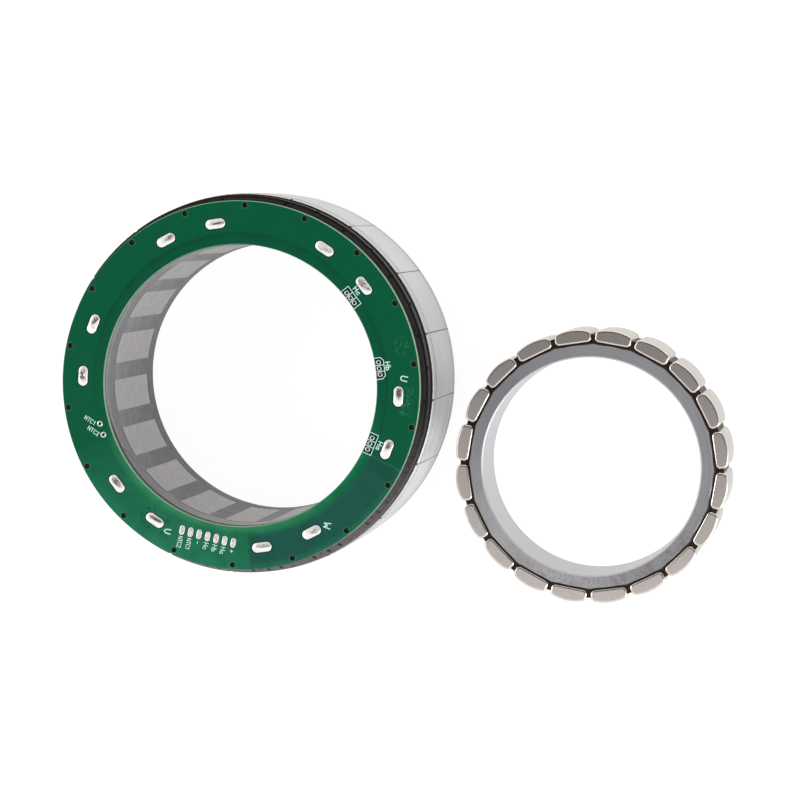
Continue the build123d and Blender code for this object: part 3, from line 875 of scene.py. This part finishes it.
def add_ring(bm, centre, hole, rim, base, height):
    """A tinned ring: a turned profile that rises from its rim and dips into its hole."""
    profile = [(rim, 0.0), (rim - 0.04, height * 0.7), ((rim + hole) / 2, height),
               (hole + 0.03, height * 0.8), (hole, 0.0)]
    spokes = [2 * math.pi * i / ring_spokes for i in range(ring_spokes)]
    rows = [[bm.verts.new(Vector((centre[0] + r * math.cos(spoke), centre[1] + r * math.sin(spoke),
                                  base + h)) * MM) for spoke in spokes] for r, h in profile]
    bridge(bm, rows + rows[:1])


hall_angles = {"a": 350.0, "b": 20.0, "c": 50.0}
lead_circle, lead_pitch = 30.15, 1.27
bead_angle, bead_circle, bead_pitch = 210.0, 31.35, 2.4
bm = bmesh.new()
for angle in hall_angles.values():
    at = math.radians(angle)
    for i in (-1, 0, 1):
        spot = Matrix.Rotation(at, 2) @ Vector((lead_circle, i * lead_pitch))
        add_ring(bm, spot, 0.29, 0.48, board_top, 0.04)
for i in (-0.5, 0.5):
    spot = Matrix.Rotation(math.radians(bead_angle), 2) @ Vector((bead_circle, i * bead_pitch))
    add_ring(bm, spot, 0.34, 0.6, board_top, 0.05)
new_piece("lead_rings", bm, pad_tin, "stator")

# %% [markdown]
# ## Magnets with tumbled edges
#
# Magnets are tumbled before plating, so each edge is a small round, and it is that round
# which draws the bright line along every rim. In CAD the edge is a plain chamfer. Here the
# block is built again from its outline: five arcs, which can all be pulled in by the same
# amount by making their radii smaller. A stack of such outlines follows the round edge up
# and over, and one more just inside it keeps the end face flat in the light.

# %% The outline of a magnet
magnet_seat, magnet_half = 25.9, 3.902
magnet_crown, magnet_shoulder, magnet_corner = 10.0, 1.1, 1.0
magnet_low, magnet_high, edge_round = 0.1, 14.4, 0.46


def magnet_outline(inset):
    """Points of the outline pulled in by that much; x points away from the rotor's axis."""
    crown_x = rotor_radius - magnet_crown
    side_y = magnet_half - magnet_shoulder
    lean = math.asin(side_y / (magnet_crown - magnet_shoulder))
    shoulder_x = crown_x + (magnet_crown - magnet_shoulder) * math.cos(lean)
    seat_x, seat_y = magnet_seat + magnet_corner, magnet_half - magnet_corner
    arcs = [(crown_x, 0.0, magnet_crown, -lean, lean, 14),
            (shoulder_x, side_y, magnet_shoulder, lean, math.pi / 2, 8),
            (seat_x, seat_y, magnet_corner, math.pi / 2, math.pi, 8),
            (seat_x, -seat_y, magnet_corner, -math.pi, -math.pi / 2, 8),
            (shoulder_x, -side_y, magnet_shoulder, -math.pi / 2, -lean, 8)]
    points = []
    for x, y, radius, start, end, steps in arcs:
        for i in range(steps):
            turn = start + (end - start) * (i + 0.5) / steps
            points.append(Vector((x + (radius - inset) * math.cos(turn),
                                  y + (radius - inset) * math.sin(turn))))
    return points


# %% Twenty magnets
edge_steps = 6
levels = [(edge_round + 0.06, 0.0)]
for i in range(edge_steps + 1):
    turn = math.pi / 2 * i / edge_steps
    levels.append((edge_round * (1.0 - math.sin(turn)), edge_round * (1.0 - math.cos(turn))))
stack = [(inset, magnet_low + rise) for inset, rise in levels]
stack += [(inset, magnet_high - rise) for inset, rise in reversed(levels)]
for index in range(magnet_count):
    place = Matrix.Translation((rotor_x, rotor_y, 0.0)) @ Matrix.Rotation(
        math.radians(magnet_turn + index * magnet_pitch), 4, "Z")
    bm = bmesh.new()
    rows = [[bm.verts.new((place @ Vector((*point, level))) * MM) for point in magnet_outline(inset)]
            for inset, level in stack]
    bridge(bm, rows)
    bm.faces.new(rows[0][::-1])
    bm.faces.new(rows[-1])
    piece = new_piece(f"tumbled_magnet_{index + 1:02d}", bm, nickel_plate, "rotor")
    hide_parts(f"magnet_{index + 1:02d}")

# %% [markdown]
# ## The printed legend
#
# The marks are generic ones that any such board has: the names of the three phases, the
# three sensors and the thermistor, and outlines that show where the sensors go. Ink is
# laid down by a screen in lines of one width, so each letter is a few strokes of a round
# pen. Where strokes cross, their outlines are joined into one flat shape by a Delaunay
# triangulation: it cuts the plane along all outlines, and the triangles that lie within the
# pen's reach of a stroke are kept and raised to the ink's thickness.

# %% Letters as strokes
letters = {
    "U": [[(0, 1), (0, .3), (.08, .09), (.3, 0), (.52, .09), (.6, .3), (.6, 1)]],
    "V": [[(0, 1), (.02, .5), (.11, .13), (.3, 0), (.49, .13), (.58, .5), (.6, 1)]],
    "W": [[(0, 1), (.12, 0), (.37, .55), (.62, 0), (.74, 1)]],
    "H": [[(0, 0), (0, 1)], [(.6, 0), (.6, 1)], [(0, .5), (.6, .5)]],
    "N": [[(0, 0), (0, 1), (.6, 0), (.6, 1)]],
    "T": [[(0, 1), (.6, 1)], [(.3, 1), (.3, 0)]],
    "C": [[(.6, .82), (.45, .97), (.25, 1), (.06, .85), (0, .5), (.06, .15), (.25, 0),
           (.45, .03), (.6, .18)]],
    "a": [[(.5, .6), (.5, 0)],
          [(.5, .45), (.28, .6), (.06, .46), (0, .28), (.08, .08), (.28, 0), (.5, .14)]],
    "b": [[(0, 1), (0, 0)],
          [(0, .14), (.22, 0), (.44, .08), (.5, .28), (.44, .5), (.22, .6), (0, .45)]],
    "c": [[(.48, .48), (.28, .6), (.08, .48), (0, .28), (.08, .08), (.28, 0), (.48, .1)]],
    "1": [[(.08, .78), (.3, 1), (.3, 0)]],
    "2": [[(.03, .8), (.15, .97), (.35, 1), (.52, .9), (.54, .7), (0, 0), (.58, 0)]],
    "+": [[(0, .5), (.6, .5)], [(.3, .2), (.3, .8)]],
    "-": [[(.03, .5), (.57, .5)]],
}


def written(text, middle, turn, height, spacing=0.85, stretch=1.0):
    """The words' letters as lists of strokes; turn is the reading direction in degrees."""
    width = (len(text) - 1) * spacing + 0.6
    spin = Matrix.Rotation(math.radians(turn), 2)
    drawn = []
    for i, letter in enumerate(text):
        drawn.append([[Vector(middle) + spin @ Vector(
            ((px + i * spacing - width / 2) * stretch, py - 0.5)) * height for px, py in line]
            for line in letters[letter]])
    return drawn


def round_the_axis(angle, radius):
    return Vector((radius * math.cos(math.radians(angle)), radius * math.sin(math.radians(angle))))


# %% Ink: strokes joined into flat shapes
def pen_outline(start, end, pen, steps=8):
    """The outline that a round pen leaves along one straight line."""
    line = end - start
    heading = math.atan2(line.y, line.x)
    points = []
    for centre, first in ((end, -0.5), (start, 0.5)):
        for i in range(steps + 1):
            turn = heading + math.pi * (first + i / steps)
            points.append(centre + pen / 2 * Vector((math.cos(turn), math.sin(turn))))
    return points


def line_distance(point, start, end):
    line = end - start
    share = max(0.0, min(1.0, (point - start).dot(line) / line.length_squared))
    return (point - start - line * share).length


def add_shape(bm, strokes, pen, thickness):
    """Adds the shape of one letter's strokes, joined and raised to the ink's thickness."""
    lines = [pair for stroke in strokes for pair in zip(stroke, stroke[1:])]
    points, edges = [], []
    for start, end in lines:
        outline = pen_outline(start, end, pen)
        first = len(points)
        edges += [(first + i, first + (i + 1) % len(outline)) for i in range(len(outline))]
        points += outline
    corners, _, triangles, *_ = delaunay_2d_cdt(points, edges, [], 0, 1e-5)
    kept = []
    for triangle in triangles:
        middle = sum((corners[i] for i in triangle), Vector((0.0, 0.0))) / 3
        if min(line_distance(middle, *line) for line in lines) < pen / 2 * 0.985:
            kept.append(triangle)
    used = {i for triangle in kept for i in triangle}
    top = {i: bm.verts.new(Vector((*corners[i], board_top + thickness)) * MM) for i in used}
    base = {i: bm.verts.new(Vector((*corners[i], board_top)) * MM) for i in used}
    for a, b, c in kept:
        bm.faces.new((top[a], top[b], top[c]))
        bm.faces.new((base[c], base[b], base[a]))
    sides = {(a, b) for t in kept for a, b in zip(t, t[1:] + t[:1])}
    for a, b in sides:
        if (b, a) not in sides:
            bm.faces.new((base[a], base[b], top[b], top[a]))


def ink(name, drawn, pen, thickness=0.02):
    bm = bmesh.new()
    for strokes in drawn:
        add_shape(bm, strokes, pen, thickness)
    return new_piece(name, bm, legend_ink, "stator", smooth=False)


# %% Phase letters and signal names
big = []
for text, at, radius in (("U", 15.6, 35.1), ("V", 255.4, 34.5), ("W", 315.7, 34.2)):
    big += written(text, round_the_axis(at, radius), -90, 1.38, stretch=1.12)
ink("legend_phases", big, 0.22)

small = []
# For each number of letters: the label's distance from the axis, its height and its spacing
label_forms = {1: (34.15, 1.0, 0.86), 2: (34.5, 1.0, 0.86), 4: (34.95, 0.85, 0.74)}
for i, text in enumerate(["+", "Ha", "Hb", "Hc", "-", "NTC1", "NTC2"]):
    side = ((pad_count - 1) / 2 - i) * pad_pitch
    reach, size, spacing = label_forms[len(text)]
    small += written(text, (side, -reach), -90, size, spacing)
small += written("NTC1", (-29.97, -14.44), -20, 0.84, 0.86)
small += written("NTC2", (-28.83, -16.46), -20, 0.84, 0.86)
ink("legend_names", small, 0.13)

beside = []
for name, at, radius in (("a", 350.5, 32.15), ("b", 20.4, 32.0), ("c", 50.5, 32.15)):
    beside += written("H" + name, round_the_axis(at, radius), hall_angles[name] - 90,
                      0.95, 0.9, stretch=1.2)
ink("legend_sensors", beside, 0.19)

# %% Sensor outlines
outlines = []
box_out, box_side = 31.22, 2.2
for name, angle in hall_angles.items():
    spin = Matrix.Rotation(math.radians(angle), 2)
    cut = 0.6 if name == "b" else 0.0
    inner = math.sqrt(board_bore ** 2 - box_side ** 2) + 0.12
    shape = [(inner, -box_side), (box_out - cut, -box_side), (box_out, -box_side + cut),
             (box_out, box_side - cut), (box_out - cut, box_side), (inner, box_side)]
    corners = [p for p, q in zip(shape, shape[1:] + [None]) if p != q]
    bars = [[(board_bore + 0.12, side), (box_out, side)] for side in (-lead_pitch / 2, lead_pitch / 2)]
    outlines.append([[spin @ Vector(p) for p in line] for line in [corners, *bars]])
ink("legend_outlines", outlines, 0.15)

# %% [markdown]
# ## Floor
#
# The object stands on a plain white sheet. A camera ray sees the sheet mostly glow by
# itself, so the background is clean white without more light on the object, and a share
# of it still takes the shadow. Shiny parts see the same white sheet. All other light
# bounces off it as off plain white paper.

# %% White floor
def rays(tree):
    """1 for camera rays, for mirrored rays, and for all rays that make up the picture."""
    path = add(tree, "LightPath")
    camera, glossy, through = (Field(path.outputs[f"Is {kind} Ray"])
                               for kind in ("Camera", "Glossy", "Transmission"))
    return camera, glossy, camera.highest(glossy).highest(through)


white = (1.0, 1.0, 1.0)
material, tree = blank_material("studio floor")
paper = add(tree, "BsdfDiffuse", {"Color": (0.80, 0.80, 0.80)})
shown = add(tree, "BsdfDiffuse", {"Color": (0.16, 0.16, 0.16)})
glow = add(tree, "Emission", {"Color": white, "Strength": 0.94})
both = add(tree, "AddShader", {0: shown.outputs[0], 1: glow.outputs[0]})
choice = add(tree, "MixShader", {0: rays(tree)[2], 1: paper.outputs[0], 2: both.outputs[0]})
add(tree, "OutputMaterial", {"Surface": choice.outputs[0]})


def flat_sheet(name, cells, reach, place, finish):
    """A level square sheet with its middle at that place."""
    bm = bmesh.new()
    bmesh.ops.create_grid(bm, x_segments=cells, y_segments=cells, size=reach,
                          matrix=Matrix.Translation(place))
    return built(name, bm, finish)


floor = flat_sheet("floor", 8, 3.0, (0.04, 0.0, -0.00003), material)

# %% [markdown]
# ## Light
#
# Flat faces that look straight up mirror the sky just above the camera. In the photo they
# are dark at the top of the picture and pale at the bottom, so a black card hangs overhead
# and turns bright towards the front, as a studio ceiling does beside a softbox. The room
# around is white, apart from a grey flag that stands to the right and keeps the steel wall
# there from washing out. Two big soft lamps give the shapes a little direction.

# %% Room and flag
world = bpy.data.worlds.new("studio room")
bpy.context.scene.world = world
world.use_nodes = True
tree = world.node_tree
tree.nodes.clear()
east, north, _ = coordinates(tree, "Generated")
compass = north.math("ARCTAN2", east) * (180.0 / math.pi)
flag = compass.near(34.0, 20.0, 24.0)
by_camera, _, seen = rays(tree)
level = (0.80 + seen * 0.20) * (1.0 - flag * (1.0 - by_camera) * 0.65)
room = add(tree, "Background", {"Color": white, "Strength": level})
add(tree, "OutputWorld", {"Surface": room.outputs[0]})

# %% Overhead card
card_height, card_reach = 1.6, 1.25
material, tree = blank_material("overhead card")
x, y, _ = position(tree)
tilt = (y - x * 0.18) / (card_height / MM) - 0.01
by_mirror = rays(tree)[1]
brightness = 0.55 + by_mirror * (tilt.under(-0.145, 0.17) * 1.15 - 0.50)
card_glow = add(tree, "Emission", {"Color": white, "Strength": brightness})
add(tree, "OutputMaterial", {"Surface": card_glow.outputs[0]})
card = flat_sheet("overhead_card", 2, card_reach, (0.0, 0.2, card_height), material)


# %% Two softboxes
object_middle = Vector((0.035, 0.0, 0.02))


def softbox(name, place, size, power, tint):
    """A square lamp that looks at the object."""
    lamp = bpy.data.lights.new(name, "AREA")
    lamp.shape, lamp.size, lamp.energy, lamp.color = "SQUARE", size, power, tint
    holder = placed(name, lamp)
    holder.location = place
    holder.rotation_mode = "QUATERNION"
    holder.rotation_quaternion = (object_middle - holder.location).to_track_quat("-Z", "Y")


softbox("softbox_left", (-1.3, -0.2, 0.9), 0.9, 9.0, (1.0, 0.995, 0.985))
softbox("softbox_front", (1.35, -0.35, 0.6), 0.8, 10.0, (0.97, 0.965, 1.0))
print("room, card and two softboxes are set")

# %% [markdown]
# ## Camera
#
# The camera's place was found by matching both rings, the board's 18 holes and the gaps
# between magnets with the photo. It stands 0.55 m away and looks almost straight down.

# %% Camera
camera_data = bpy.data.cameras.new("camera")
camera_data.sensor_width, camera_data.lens = 36.0, 112.5
camera_data.clip_start, camera_data.clip_end = 0.01, 50.0
camera = placed("camera", camera_data)
right, up, back = ((0.9561, 0.20851, -0.20589), (-0.22773, 0.97088, -0.07432),
                   (0.1844, 0.11794, 0.97575))
camera.matrix_world = Matrix.Translation((0.1282937, 0.0653297, 0.5333618)) @ \
    Matrix((right, up, back)).transposed().to_4x4()
bpy.context.scene.camera = camera
bpy.context.scene.view_settings.view_transform = "Standard"

# %% [markdown]
# ## Last step
#
# The view layer is brought up to date, so that every object stands in its place. The
# dressed model may not be larger than the CAD model.

# %% Update the view layer
bpy.context.view_layer.update()
